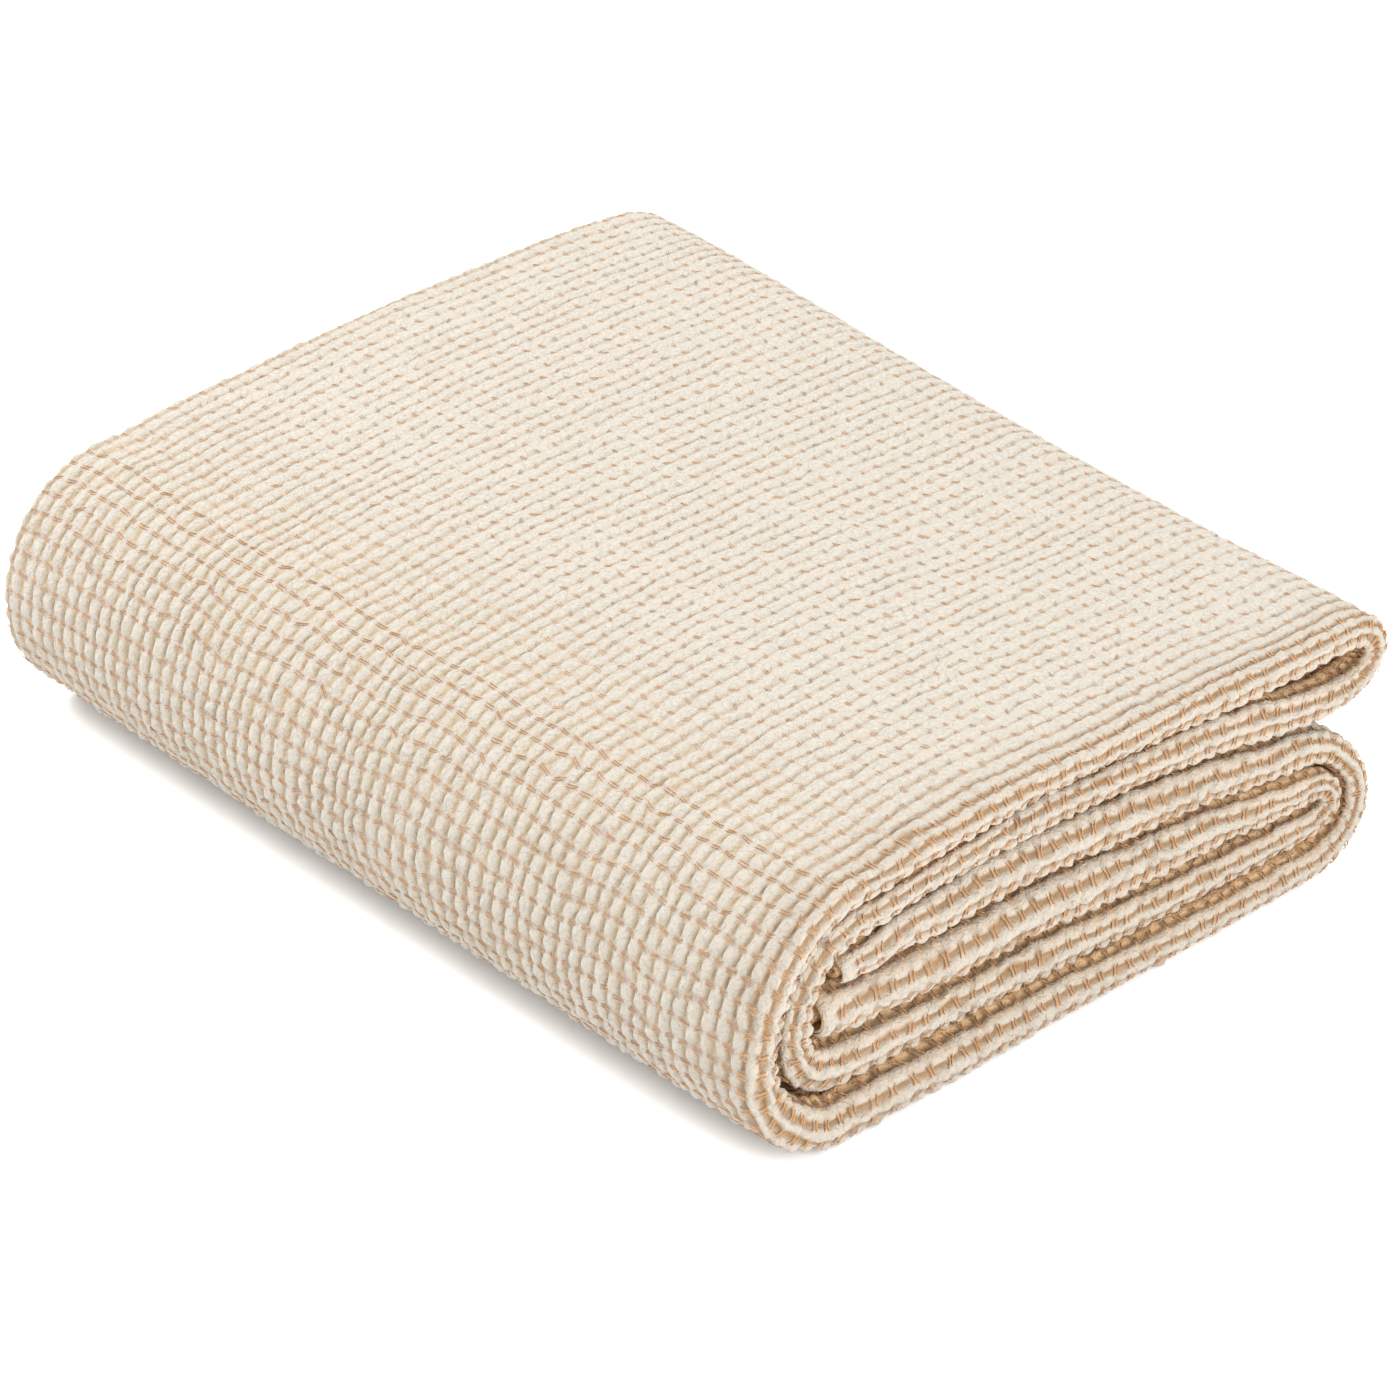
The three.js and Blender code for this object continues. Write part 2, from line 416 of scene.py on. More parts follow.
def gap_swells():
    """Along the band, how far its outward and its other side can swell: half the gap to the next layer."""
    u = np.linspace(0.0, BEADS, SAMPLES_PER_BEAD * BEADS + 1)
    band = at_bead(u)
    middle = np.stack([band.x, band.z], -1)
    outward = np.stack([band.out_x, band.out_z], -1)
    sides = [middle + sign * band.half[:, None] * outward for sign in (1.0, -1.0)]
    others = np.concatenate(sides)
    same_layer = np.abs(u[:, None] - np.tile(u, 2)[None, :]) < SAME_LAYER_BEADS
    swells = []
    for side in sides:
        apart = np.linalg.norm(side[:, None, :] - others[None, :, :], axis=-1)
        gap = np.where(same_layer, np.inf, apart).min(1)
        swell = np.clip((gap - GAP_KEPT) / 2.0, 0.0, SWELL_MOST)
        swells.append(np.convolve(swell, np.ones(SWELL_AVERAGED) / SWELL_AVERAGED, mode="same"))
    return u, swells


SWELL_BEADS, SWELLS = gap_swells()


def front_swell(u, v):
    """How far the cloth stands out into the gap between two layers, just behind the front edge."""
    outward, other = [np.interp(u, SWELL_BEADS, swell) for swell in SWELLS]
    ribs = np.abs(v)
    behind = ramp(ribs, SWELL_STARTS) * ramp(ribs, SWELL_ENDS)
    return np.where(v < 0.0, other, outward) * hidden_side(u, v) * behind


# Half width of a rib, in ribs, and how much narrower the ties make it over how many beads
TOP_RIB_HALF = 0.50
WRAP_RIB_HALF = 0.44
FRONT_RIB_HALF = 0.36
TIE_SQUEEZE = 0.20
FRONT_SQUEEZE = 0.4
TIE_REACH = 0.20

# Roundness of the ribs and of the beads between two ties, and how deep the ties pinch them
TOP_RIB_POWER = 3.2
WRAP_RIB_POWER = 2.2
ARCH_POWER = 0.62
TOP_BEAD_POWER = 0.8
OPEN_BEAD = (0.05, 0.38)
TOP_PINCH = 0.27
OPEN_PINCH = 0.72
LEAST_PINCHED = 0.1
BEAD_TOP = 0.97
TIE_FLOOR = 0.45
FULLNESS_LIMITS = (0.5, 1.35)
WIDTH_LIMITS = (0.8, 1.1)

# Wide pressed patches, fine crinkles and plain hems, with their sizes in beads and ribs
PRESSED_MEAN = 0.92
PRESSED_SPREAD = 0.10
PRESSED_LIMITS = (0.7, 1.05)
PRESSED_BEADS = 7.0
PRESSED_RIBS = 6.0
CRINKLE_HEIGHT = 0.20
CRINKLES_PER_BEAD = 2.6
CRINKLES_PER_RIB = 2.3
CRINKLE_AT_TIE = 0.4
HEM_BEADS = (0.5, 0.8)
HEM_HEIGHT = 0.6
MOST_HEIGHT = 1.1

# Tints of the weave, partly painted shade: how low the arch of a rib is where each starts and is full, how
# strong it is, and where it is weaker, and how wide the step is from the lit to the shaded wall of a valley
VALLEY_ARCH = (0.70, 0.0)
FLANK_ARCH = (0.82, 0.12)
WINDOW_ARCH = (0.62, 0.02)
SHADED_SIDE = 0.30
# Strength of the recess tint, tan ground with painted shade: on the top and the wrap, on the lit side of a
# valley, and how much is lost at ties and over the front edge
TOP_RECESS = 0.30
WRAP_RECESS = 0.90
RECESS_ON_LIT_SIDE = 0.45
RECESS_LOST_AT_TIE = 0.6
RECESS_LOST_AT_FRONT = 0.7
# Strength of the window tint, painted shade: over the whole front edge, on the lit side of an opening, and
# how much is lost at ties
WINDOW_ALL_OVER = 0.12
WINDOW_ON_LIT_SIDE = 0.6
WINDOW_LOST_AT_TIE = 0.3
KNOT_REACH = 0.09
KNOT_ON_RIB = 0.28
LEAST_KNOT = 0.05
MORE_KNOT = 0.40


def hem(u):
    """1 on the plain hems at the two free ends of the band."""
    return 1.0 - ramp(np.minimum(u, BEADS - u), HEM_BEADS)


def weave_shades(u, v, arch, tied):
    """How strongly the weave is tinted: its recesses, tan ground with painted shade on the wall of each
    valley turned from the light; the openings over the front edge, painted shade over the ground and a little
    over the whole front edge; and its knots, the thread colour.
    """
    edge, turned = pull_open(u, v)
    woven = 1.0 - hem(u)
    knot = KNOT_STRENGTH[cell_of(np.round(u), np.floor(v))]
    tie = TIE_STRENGTH[cell_of(np.round(u), np.round(v))]
    thread = np.abs(u - np.round(u))
    # Painted shade side: 0 on the wall of each valley turned towards the key light, 1 on the wall turned
    # away; over the front edge it is the upper wall, under the rib above
    facing = mix(1.0, np.sign(at_bead(u).out_z), edge)
    shaded = smooth(facing * (v - np.floor(v) - VALLEY) / SHADED_SIDE + 0.5)
    valley = ramp(arch, VALLEY_ARCH) * woven
    # Recess: the tan ground in the valleys, with painted shade that is stronger on the wall turned from the
    # light
    flank = ramp(arch, FLANK_ARCH) * woven * (1.0 - RECESS_LOST_AT_TIE * tied)
    flank = flank * mix(RECESS_ON_LIT_SIDE, 1.0, shaded) * (1.0 - RECESS_LOST_AT_FRONT * edge)
    # Window: painted shade over the ground in the openings over the front edge, strongest on the shaded wall;
    # the whole front edge gets a little of it as painted shade
    opening = ramp(arch, WINDOW_ARCH) * woven * (1.0 - WINDOW_LOST_AT_TIE * tied)
    opening = opening * mix(WINDOW_ON_LIT_SIDE, 1.0, shaded)
    rib_knot = KNOT_ON_RIB * turned * tie * (1.0 - edge)
    return {
        "recess_tan_and_shade": mix(TOP_RECESS * valley, WRAP_RECESS * flank, turned),
        "window_shade": edge * mix(WINDOW_ALL_OVER, 1.0, opening),
        "knot": bell(thread, KNOT_REACH) * mix(rib_knot, LEAST_KNOT + MORE_KNOT * knot, valley),
    }


def puff(u, v):
    """Height of the weave from 0 in the valleys to 1 on the beads, with its shades."""
    edge, turned = pull_open(u, v)
    opened = np.maximum(turned, edge)
    cell = cell_of(np.floor(u), np.round(v))
    tie = TIE_STRENGTH[cell_of(np.round(u), np.round(v))]
    rib = np.abs(v - np.round(v))
    thread = np.abs(u - np.round(u))
    tied = bell(thread, TIE_REACH)
    squeezed = TIE_SQUEEZE * tie * tied
    half = mix(TOP_RIB_HALF, WRAP_RIB_HALF - squeezed, turned)
    half = mix(half, FRONT_RIB_HALF - FRONT_SQUEEZE * squeezed, edge)
    share = np.clip(rib / (half * np.clip(BEAD_WIDTH[cell], *WIDTH_LIMITS)), 0.0, 1.0)
    arch = (1.0 - share ** mix(TOP_RIB_POWER, WRAP_RIB_POWER, turned)) ** ARCH_POWER
    bead = mix(np.sin(np.pi * thread) ** TOP_BEAD_POWER, ramp(thread, OPEN_BEAD), opened)
    pinched = np.clip(1.0 - tie * mix(TOP_PINCH, OPEN_PINCH, opened), LEAST_PINCHED, 1.0)
    fullness = np.clip(BEAD_FULLNESS[cell], *FULLNESS_LIMITS)
    patches = soft_noise(PRESSED, u / PRESSED_BEADS, v / PRESSED_RIBS)
    pressed = np.clip(PRESSED_MEAN + PRESSED_SPREAD * patches, *PRESSED_LIMITS)
    crinkle = CRINKLE_HEIGHT * soft_noise(CRINKLE, u * CRINKLES_PER_BEAD, v * CRINKLES_PER_RIB)
    crinkle = crinkle * mix(CRINKLE_AT_TIE, 1.0, bead)
    body = pressed * mix(pinched, BEAD_TOP, bead * fullness) + crinkle
    height = arch * body + (1.0 - arch) * TIE_FLOOR * opened * tied
    height = mix(height, HEM_HEIGHT, hem(u))
    return np.clip(height, 0.0, MOST_HEIGHT), weave_shades(u, v, arch, tied)


def relief_depth(u):
    """Depth of the weave where it is fullest, shallower where the band is thin."""
    return np.minimum(RELIEF, RELIEF_OF_HALF * at_bead(u).half)


def weave_lift(u, v):
    """Height of the weave above the band's outside and its depth, in millimetres, with its shades."""
    height, shades = puff(u, v)
    edge, turned = pull_open(u, v)
    share = mix(TOP_RELIEF_SHARE, WRAP_RELIEF_SHARE, turned)
    depth = relief_depth(u) * mix(share, 1.0, edge)
    return depth * (height - 1.0) + front_swell(u, v), depth, shades


# Length over which the weave closes down at the free ends, in beads
END_BEADS = 0.4


def end_drop(u):
    """Closes the weave down onto the cloth at the two free ends of the band."""
    inward = np.clip(np.minimum(u, BEADS - u) / END_BEADS, 0.0, 1.0)
    return 1.0 - np.sqrt(np.clip(1.0 - (1.0 - inward) ** 2, 0.0, 1.0))


def weave_points(u, v):
    """Points of the puffed weave, and its shades."""
    lift, depth, shades = weave_lift(u, v)
    lift = lift - (lift + depth) * end_drop(u)
    # depth is the painted warm shade of cloth between the layers near the front
    return shell(*lattice(u, v), lift), {"depth": painted_fold_shade(u, v), **shades}


# How finely the pack's box is measured from its front edge to its back fold
BOX_SAMPLES = 400


def middle_of_pack():
    """The middle of the pack's box in plan, which is the frame's origin."""
    along = np.linspace(0.0, BEADS, SAMPLES_PER_BEAD * BEADS + 1)
    across = np.linspace(-LOOP_RIBS, LAST_RIB, BOX_SAMPLES)
    u, v = np.meshgrid(along, across, indexing="ij")
    points = shell(u, v, 0.0 * u).reshape(-1, 3)
    middle = (points.min(0) + points.max(0)) / 2.0
    middle[2] = 0.0
    return middle


PACK_MIDDLE = middle_of_pack()


def add_mesh(name, points, faces, shades, material):
    """A smooth mesh from arrays, in metres, with a value for each point for every shade."""
    mesh = bpy.data.meshes.new(name)
    points = (points.reshape(-1, 3) - PACK_MIDDLE) * MM
    corners = faces.shape[1]
    mesh.vertices.add(len(points))
    mesh.vertices.foreach_set("co", points.astype(np.float32).ravel())
    mesh.loops.add(faces.size)
    mesh.loops.foreach_set("vertex_index", faces.astype(np.int32).ravel())
    mesh.polygons.add(len(faces))
    mesh.polygons.foreach_set("loop_start", np.arange(0, faces.size, corners, dtype=np.int32))
    mesh.polygons.foreach_set("use_smooth", np.ones(len(faces), dtype=bool))
    for shade, values in shades.items():
        layer = mesh.attributes.new(shade, "FLOAT", "POINT")
        layer.data.foreach_set("value", values.astype(np.float32).ravel())
    mesh.update(calc_edges=True)
    mesh.validate()
    mesh.materials.append(material)
    piece = bpy.data.objects.new(name, mesh)
    bpy.context.collection.objects.link(piece)
    return piece


def grid_faces(rows, columns):
    """Four-cornered faces of a grid of points."""
    i, j = np.meshgrid(np.arange(rows - 1), np.arange(columns - 1), indexing="ij")
    a = (i * columns + j).ravel()
    return np.stack([a, a + 1, a + columns + 1, a + columns], -1)


# Places of the points within one bead and within one rib: close together at the threads and in the valleys
FINE_BEAD = np.array([0.0, 0.1, 0.22, 0.4, 0.6, 0.78, 0.9])
FINE_RIB = np.array([0.0, 0.08, 0.2, 0.4, 0.6, 0.8, 0.92])
FINE_STEPS = (FINE_BEAD, FINE_RIB)
COARSE_CELL = np.array([0.0, 0.2, 0.5, 0.8])
COARSE_STEPS = (COARSE_CELL, COARSE_CELL)


def cell_lines(first, last, steps):
    """Point places from one whole cell to another."""
    places = (np.arange(first, last)[:, None] + steps[None, :]).ravel()
    return np.append(places, last)


def weave_piece(name, span, ribs, steps, material):
    """One stretch of the puffed weave, from bead to bead and from valley to valley."""
    u_lines = cell_lines(span[0], span[1], steps[0])
    v_lines = cell_lines(0, ribs[1] - ribs[0], steps[1]) + ribs[0] - VALLEY
    v_lines = np.unique(np.minimum(v_lines, LAST_RIB))
    u, v = np.meshgrid(u_lines, v_lines, indexing="ij")
    points, shades = weave_points(u, v)
    return add_mesh(name, points, grid_faces(len(u_lines), len(v_lines)), shades, material)


# Colours of the cotton and its threads; the warm colour of the gaps is painted shade, and the tan and the
# olive carry painted shade
CREAM = (0.358, 0.328, 0.282, 1.0)
# Tan of the ground in the valleys, with painted shade in it
TAN_AND_SHADE = (0.33, 0.235, 0.125, 1.0)
# Dark olive: painted shade over the ground in the openings over the front edge
OLIVE_SHADE = (0.19, 0.095, 0.025, 1.0)
PEACH = (0.47, 0.25, 0.10, 1.0)
RUST = (0.34, 0.15, 0.065, 1.0)
BROWN = (0.32, 0.155, 0.07, 1.0)
# Painted warm shade for cloth in the gaps between the layers, where little light reaches
WARM_GAP_SHADE = (0.47, 0.285, 0.135, 1.0)
DARK_MOTTLE = 0.93
LIGHT_MOTTLE = 1.05

# Finish of the cotton: its shine, fibre grain and fine crinkles, by the names of the nodes' sockets
COTTON_FINISH = {"Roughness": 0.95, "Specular IOR Level": 0.15, "Sheen Weight": 0.15, "Sheen Roughness": 0.6}
FIBRE_NOISE = {"Scale": 900.0, "Detail": 3.0}
FIBRE_BUMP = {"Strength": 0.3, "Distance": 0.0004}
CRINKLE_NOISE = {"Scale": 360.0, "Detail": 3.0, "Distortion": 0.8}
CRINKLE_BUMP = {"Strength": 1.0, "Distance": 0.0022}


def set_inputs(node, values):
    """Sets plain values on a node's own sockets."""
    for socket, value in values.items():
        node.inputs[socket].default_value = value


def scaled(colour, factor):
    """A colour made lighter or darker."""
    return tuple(min(channel * factor, 1.0) for channel in colour[:3]) + (1.0,)


def cotton_material(name, base, shades):
    """Matt cotton with a fine fibre grain, tinted where the named shades are strong."""
    material = bpy.data.materials.new(name)
    material.use_nodes = True
    nodes = material.node_tree.nodes
    links = material.node_tree.links
    surface = nodes["Principled BSDF"]
    set_inputs(surface, COTTON_FINISH)
    place_in = nodes.new("ShaderNodeTexCoord")
    fibre = nodes.new("ShaderNodeTexNoise")
    set_inputs(fibre, FIBRE_NOISE)
    links.new(place_in.outputs["Object"], fibre.inputs["Vector"])
    mottle = nodes.new("ShaderNodeMix")
    mottle.data_type = "RGBA"
    set_inputs(mottle, {"A": scaled(base, DARK_MOTTLE), "B": scaled(base, LIGHT_MOTTLE)})
    links.new(fibre.outputs["Fac"], mottle.inputs["Factor"])
    colour = mottle.outputs["Result"]
    for shade, tint in shades:
        amount = nodes.new("ShaderNodeAttribute")
        amount.attribute_name = shade
        tinted = nodes.new("ShaderNodeMix")
        tinted.data_type = "RGBA"
        set_inputs(tinted, {"B": tint})
        links.new(amount.outputs["Fac"], tinted.inputs["Factor"])
        links.new(colour, tinted.inputs["A"])
        colour = tinted.outputs["Result"]
    links.new(colour, surface.inputs["Base Color"])
    crinkle = nodes.new("ShaderNodeTexNoise")
    set_inputs(crinkle, CRINKLE_NOISE)
    links.new(place_in.outputs["Object"], crinkle.inputs["Vector"])
    folds = nodes.new("ShaderNodeBump")
    set_inputs(folds, CRINKLE_BUMP)
    links.new(crinkle.outputs["Fac"], folds.inputs["Height"])
    grain = nodes.new("ShaderNodeBump")
    set_inputs(grain, FIBRE_BUMP)
    links.new(fibre.outputs["Fac"], grain.inputs["Height"])
    links.new(folds.outputs["Normal"], grain.inputs["Normal"])
    links.new(grain.outputs["Normal"], surface.inputs["Normal"])
    return material


# Tints of the weave: depth is painted warm shade between the layers, recess is tan ground with painted shade,
# window is painted shade over the front openings, knot is thread colour
WEAVE_TINTS_AND_SHADES = (("depth", WARM_GAP_SHADE), ("recess_tan_and_shade", TAN_AND_SHADE), ("window_shade", OLIVE_SHADE), ("knot", BROWN))
weave_cotton = cotton_material("puffed_cotton", CREAM, WEAVE_TINTS_AND_SHADES)
# The ground cloth takes only the painted warm shade between the layers near the front
ground_cotton = cotton_material("ground_cotton", CREAM, (("depth", WARM_GAP_SHADE),))
thread_cotton = cotton_material("peach_thread", PEACH, (("dark", RUST),))

# The folded cloth itself, one closed sheet that the weave stands on, and how finely its folds are followed
GROUND_BELOW = 0.4
GROUND_ALONG = 160
GROUND_RIBS = 16
FRONT_LOOP_STEPS = 12
BACK_FOLD_STEPS = 6
INNER_LOOP_STEPS = 4
LOWERED_SHARES = (0.06, 0.12)

# The four plies as one line from hem to hem: share of the length, lead and across in half thicknesses, the
# two parts of the ply's own side, and how much of the weave stands on that side
PlyLine = namedtuple("PlyLine", "share lead across side_lead side_across weave")


def ply_straight(shares, across, side, weave):
    """Places along one ply, with the weave on it given for each of them."""
    return [(share, 0.0, across, 0.0, side, stands) for share, stands in zip(shares, weave)]


def ply_loop(share, lead, across, radius, faces, side, turn, steps, weave):
    """Places round one fold of the ply, from one of its sides to the other."""
    rows = []
    for angle in np.linspace(turn * math.pi / 2, -turn * math.pi / 2, steps + 1):
        c = math.cos(angle)
        s = math.sin(angle)
        out = faces * c
        rows.append((share, lead + radius * out, across + radius * s, side * out, side * s, weave))
    return rows


def ply_line():
    """The line of the four plies, from the lower hem round the front edge and back fold to the inner hem."""
    along = np.linspace(0.0, 1.0, GROUND_RIBS + 2)[1:-1]
    backward = along[::-1]
    none = 0.0 * along
    full = none + 1.0
    lowered = 1.0 - ramp(backward, LOWERED_SHARES)
    rows = [
        (1.0, -SHORT_HEM, -PLY_OUTER, 0.0, -1.0, 0.0),
        *ply_straight(backward, -PLY_OUTER, -1.0, lowered),
        *ply_loop(0.0, 1.0, 0.0, PLY_OUTER, -1.0, 1.0, -1.0, FRONT_LOOP_STEPS, 1.0),
        *ply_straight(along, PLY_OUTER, 1.0, full),
        *ply_loop(
            1.0, -BACK_FOLD_RADIUS, BACK_FOLD_MIDDLE, BACK_PLY_RADIUS, 1.0, 1.0, 1.0, BACK_FOLD_STEPS, 1.0
        ),
        *ply_straight(backward, PLY_INNER, -1.0, none),
        *ply_loop(0.0, 1.0 + INNER_LOOP_BEHIND, 0.0, PLY_INNER, -1.0, -1.0, 1.0, INNER_LOOP_STEPS, 0.0),
        *ply_straight(along, -PLY_INNER, 1.0, none),
        (1.0, -SHORTER_HEM, -PLY_INNER, 0.0, 1.0, 0.0),
    ]
    return PlyLine(*np.array(rows).T)


def folded_cloth(material):
    """The closed sheet: both faces of the ply line carried along the band, closed at its two free ends."""
    line = ply_line()
    u = np.linspace(0.0, BEADS, GROUND_ALONG + 1)[:, None]
    band = at_bead(u)
    front = band.front - PACK_LENGTH / 2.0
    back = PACK_LENGTH / 2.0 - band.back
    ply_half = PLY_HALF * band.half
    lowered = (relief_depth(u) + GROUND_BELOW) * line.weave
    faces_of_ply = []
    for off in (ply_half - lowered, -ply_half):
        y = mix(front, back, line.share) + line.lead * band.half + line.side_lead * off
        across = line.across * band.half + line.side_across * off
        faces_of_ply.append(place(band, y, across))
    ring = np.concatenate([faces_of_ply[0], faces_of_ply[1][:, ::-1]], 1)
    rows, around = ring.shape[:2]
    i, j = np.meshgrid(np.arange(rows - 1), np.arange(around), indexing="ij")
    a = (i * around + j).ravel()
    b = (i * around + (j + 1) % around).ravel()
    walls = np.stack([a, b, b + around, a + around], -1)
    k = np.arange(around // 2 - 1)
    near = np.stack([k, around - 1 - k, around - 2 - k, k + 1], -1)
    far = np.stack([k, k + 1, around - 2 - k, around - 1 - k], -1) + (rows - 1) * around
    # Painted warm shade on the ground cloth, full towards the front where it lies between the layers
    gap_shade = gap_shade_near_front(np.concatenate([line.share, line.share[::-1]]))
    shades = {"depth": np.broadcast_to(gap_shade, (rows, around))}
    return add_mesh("folded_cloth", ring, np.concatenate([walls, near, far]), shades, material)


# Fine binding threads across the valleys: where their strands lie in beads, their points in ribs, how far the
# strands bow apart, how they lean, their radius in millimetres and how dark they are
ThreadStyle = namedtuple("ThreadStyle", "strands places bow lean radius tone")
SINGLE = (0.0,)
PAIR = (-0.06, 0.06)
WIDE_PAIR = (-0.10, 0.10)
TICK_PLACES = np.array([-0.20, -0.07, 0.07, 0.20])
DASH_PLACES = np.array([-0.30, -0.10, 0.10, 0.30])
FRONT_PLACES = np.array([-0.24, -0.12, 0.0, 0.12, 0.24])
TOP_TICKS = ThreadStyle(PAIR, TICK_PLACES, bow=0.0, lean=0.35, radius=0.18, tone=0.35)
SIDE_TICKS = ThreadStyle(SINGLE, TICK_PLACES, bow=0.0, lean=0.35, radius=0.25, tone=0.35)
WRAP_DASHES = ThreadStyle(PAIR, DASH_PLACES, bow=0.0, lean=0.12, radius=0.27, tone=0.5)
FRONT_STRANDS = ThreadStyle(WIDE_PAIR, FRONT_PLACES, bow=0.6, lean=0.14, radius=0.38, tone=0.25)

# How the threads bridge the valleys, sway, lie loose and vary in tone, and what they keep clear of
THREAD_SIDES = 3
THREAD_BRIDGE = 0.45
THREAD_SWAY = 0.375
SWAY_STRAND_STEP = 40.0
SWAY_PER_RIB = 1.7
THREAD_LIFT = 0.16
THREAD_LOOSE = 0.18
LOOSE_STRAND_STEP = 60.0
LOOSE_PER_BEAD = 1.7
LOOSE_PER_RIB = 2.3
THREAD_TONES = (0.5, 1.4)
CLEAR_BEADS = 0.5
CLEAR_RIBS = 0.02


def unit(vectors):
    """The vectors at length 1."""
    return vectors / np.linalg.norm(vectors, axis=-1)[..., None]


def thread_strand(strand, u, v, leans, style):
    """One strand at every crossing, as a thin tube that lies on the ribs and bridges the valleys."""
    places = style.places[None, :]
    sway = THREAD_SWAY * soft_noise(BEAD_LEAN, u + SWAY_STRAND_STEP * strand, SWAY_PER_RIB * v)
    bowed = strand * (1.0 + style.bow * (places / style.places[-1]) ** 2)
    thread_u = np.clip(u + bowed + sway + leans * places, CLEAR_BEADS, BEADS - CLEAR_BEADS)
    lift, depth, _ = weave_lift(thread_u, v)
    lift = np.maximum(lift, front_swell(thread_u, v) - THREAD_BRIDGE * depth)
    loose = soft_noise(CRINKLE, LOOSE_PER_BEAD * u + LOOSE_STRAND_STEP * strand, LOOSE_PER_RIB * v)
    lift = lift + THREAD_LIFT + THREAD_LOOSE * loose
    flat = lattice(thread_u, v)
    middle = shell(*flat, lift)
    above = unit(shell(*flat, lift + 1.0) - middle)
    beside = unit(np.cross(above, np.gradient(middle, axis=1)))
    angles = np.arange(THREAD_SIDES) * 2 * math.pi / THREAD_SIDES + math.pi / 2
    ring = [middle + style.radius * (math.cos(t) * beside + math.sin(t) * above) for t in angles]
    return np.stack(ring, 2)


def thread_piece(name, span, ribs, style, material):
    """The strands of one stretch, at each of its threads and valleys."""
    u, v = np.meshgrid(np.arange(*span), np.arange(*ribs) - VALLEY, indexing="ij")
    u = u.reshape(-1, 1)
    v = np.minimum(v.reshape(-1, 1) + style.places[None, :], LAST_RIB - CLEAR_RIBS)
    leans = np.random.default_rng(SEED).normal(0.0, style.lean, (len(u), 1))
    shape = (len(style.strands) * len(u), 1, 1)
    tones = np.random.default_rng(SEED).uniform(*THREAD_TONES, shape) * style.tone
    points = np.concatenate([thread_strand(strand, u, v, leans, style) for strand in style.strands])
    count, steps = points.shape[:2]
    counts = (np.arange(count), np.arange(steps - 1), np.arange(THREAD_SIDES))
    n, i, k = np.meshgrid(*counts, indexing="ij")
    base = (n * steps + i) * THREAD_SIDES
    a = (base + k).ravel()
    b = (base + (k + 1) % THREAD_SIDES).ravel()
    faces = np.stack([a, b, b + THREAD_SIDES, a + THREAD_SIDES], -1)
    return add_mesh(name, points, faces, {"dark": tones * np.ones(points.shape[:3])}, material)


# How far the weave of the top goes on round its turn, and that of the two right turns beyond them, in beads
TOP_BEYOND = 5
TURN_BEYOND = 8


def beads_of(run, before=0, after=0):
    """Whole beads from the start of one run to its end, with some more before and after."""
    start = max(int(round(SPANS[run][0] - before)), 0)
    stop = min(int(round(SPANS[run][1] + after)), BEADS)
    return start, stop


# Stretches of the weave that show, in beads, cut at threads
top_span = beads_of("first", after=TOP_BEYOND)
top_middle = (top_span[0] + top_span[1]) // 2
wrap_span = (beads_of("outer_wrap")[0], top_span[0])
upper_right_span = (top_span[1], beads_of("upper_right_turn", after=TURN_BEYOND)[1])
bottom_span = (beads_of("sixth")[0], wrap_span[0])
lower_right_span = (beads_of("lower_right_turn", before=TURN_BEYOND)[0], bottom_span[0])

# The same in ribs, cut at valleys: front edge, outside of the pack, and back fold of the hidden layers
EDGE_END = 3
BACK_START = STRAIGHT_RIBS - 1
BACK_END = STRAIGHT_RIBS + 4
FRONT_RIBS = (-EDGE_END, EDGE_END)
FACE_RIBS = (EDGE_END, BACK_END)
BACK_EDGE_RIBS = (BACK_START, BACK_END)

# The pieces: name, beads, ribs, and how finely the weave is followed or which threads lie there
WEAVES = (
    ("weave_top_left", (top_span[0], top_middle), FACE_RIBS, FINE_STEPS),
    ("weave_top_right", (top_middle, top_span[1]), FACE_RIBS, FINE_STEPS),
    ("weave_wrap", wrap_span, FACE_RIBS, FINE_STEPS),
    ("weave_upper_right", upper_right_span, FACE_RIBS, COARSE_STEPS),
    ("weave_lower_right", lower_right_span, FACE_RIBS, COARSE_STEPS),
    ("weave_bottom", bottom_span, FACE_RIBS, COARSE_STEPS),
    ("weave_front", (0, BEADS), FRONT_RIBS, FINE_STEPS),
    ("weave_back_start", (0, lower_right_span[0]), BACK_EDGE_RIBS, COARSE_STEPS),
    ("weave_back_end", (upper_right_span[1], BEADS), BACK_EDGE_RIBS, COARSE_STEPS),
)
THREADS = (
    ("threads_top", top_span, FACE_RIBS, TOP_TICKS),
    ("threads_wrap", wrap_span, FACE_RIBS, WRAP_DASHES),
    ("threads_upper_right", upper_right_span, FACE_RIBS, SIDE_TICKS),
    ("threads_lower_right", lower_right_span, FACE_RIBS, SIDE_TICKS),
    ("threads_front", (1, BEADS), FRONT_RIBS, FRONT_STRANDS),
)
cloth = folded_cloth(ground_cotton)
pieces = [weave_piece(*row, weave_cotton) for row in WEAVES]
pieces += [thread_piece(*row, thread_cotton) for row in THREADS]
for piece in [cloth, *pieces]:
    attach(piece, "root")
    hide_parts("bedspread")

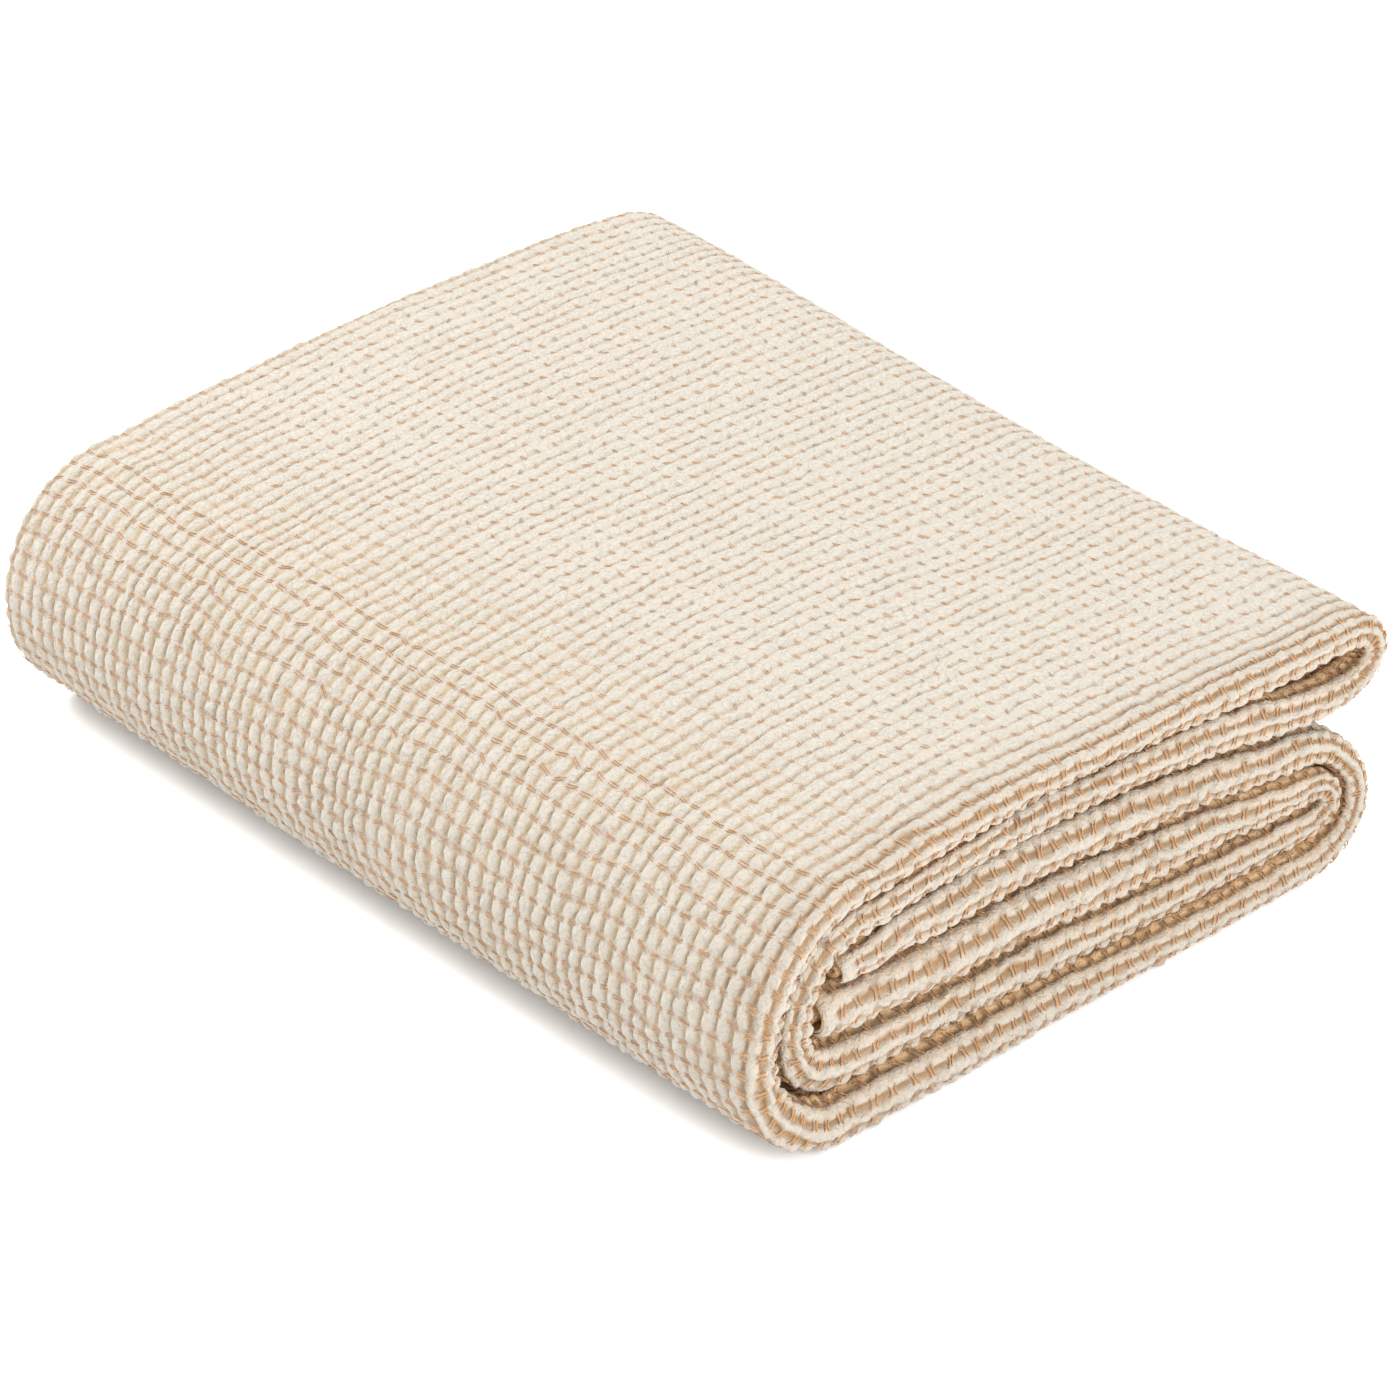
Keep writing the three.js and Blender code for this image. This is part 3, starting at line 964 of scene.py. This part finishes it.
# Floor
FLOOR_SIZE = 12.0
FLOOR_FINISH = {"Base Color": (0.95, 0.95, 0.95, 1.0), "Roughness": 0.9, "Specular IOR Level": 0.1}
bpy.ops.mesh.primitive_plane_add(size=FLOOR_SIZE)
floor = bpy.context.object
floor.name = "floor"
floor_paint = bpy.data.materials.new("pale_floor")
floor_paint.use_nodes = True
set_inputs(floor_paint.node_tree.nodes["Principled BSDF"], FLOOR_FINISH)
floor.data.materials.append(floor_paint)

# Soft studio light
STUDIO_LIGHT = {"Color": (1.0, 0.99, 0.975, 1.0), "Strength": 1.55}
LIGHT_AIM = Vector((0.0, 0.0, 0.05))
world = bpy.data.worlds.new("studio")
bpy.context.scene.world = world
world.use_nodes = True
set_inputs(world.node_tree.nodes["Background"], STUDIO_LIGHT)


def area_light(name, place_at, size, power):
    """A square soft light turned towards the pack."""
    data = bpy.data.lights.new(name, "AREA")
    data.size = size
    data.energy = power
    lamp = bpy.data.objects.new(name, data)
    lamp.location = place_at
    lamp.rotation_euler = (LIGHT_AIM - Vector(place_at)).to_track_quat("-Z", "Y").to_euler()
    bpy.context.collection.objects.link(lamp)


area_light("key", place_at=(-0.75, 1.7, 2.1), size=1.4, power=80.0)
area_light("front_fill", place_at=(-0.1, -2.3, 0.8), size=2.0, power=66.0)

# Camera
CAMERA_AZIMUTH = math.radians(-42.65)
CAMERA_ELEVATION = math.radians(32.28)
CAMERA_DISTANCE = 2.783
CAMERA_FIELD = math.radians(15.09)
CAMERA_TARGET = Vector((-0.02787, -0.03034, 0.070))
camera_back = Vector(
    (
        math.sin(CAMERA_AZIMUTH) * math.cos(CAMERA_ELEVATION),
        -math.cos(CAMERA_AZIMUTH) * math.cos(CAMERA_ELEVATION),
        math.sin(CAMERA_ELEVATION),
    )
)
camera_data = bpy.data.cameras.new("camera")
camera_data.sensor_fit = "HORIZONTAL"
camera_data.angle = CAMERA_FIELD
camera = bpy.data.objects.new("camera", camera_data)
camera.location = CAMERA_TARGET + camera_back * CAMERA_DISTANCE
camera.rotation_euler = camera_back.to_track_quat("Z", "Y").to_euler()
bpy.context.collection.objects.link(camera)
bpy.context.scene.camera = camera
bpy.context.scene.view_settings.view_transform = "Standard"
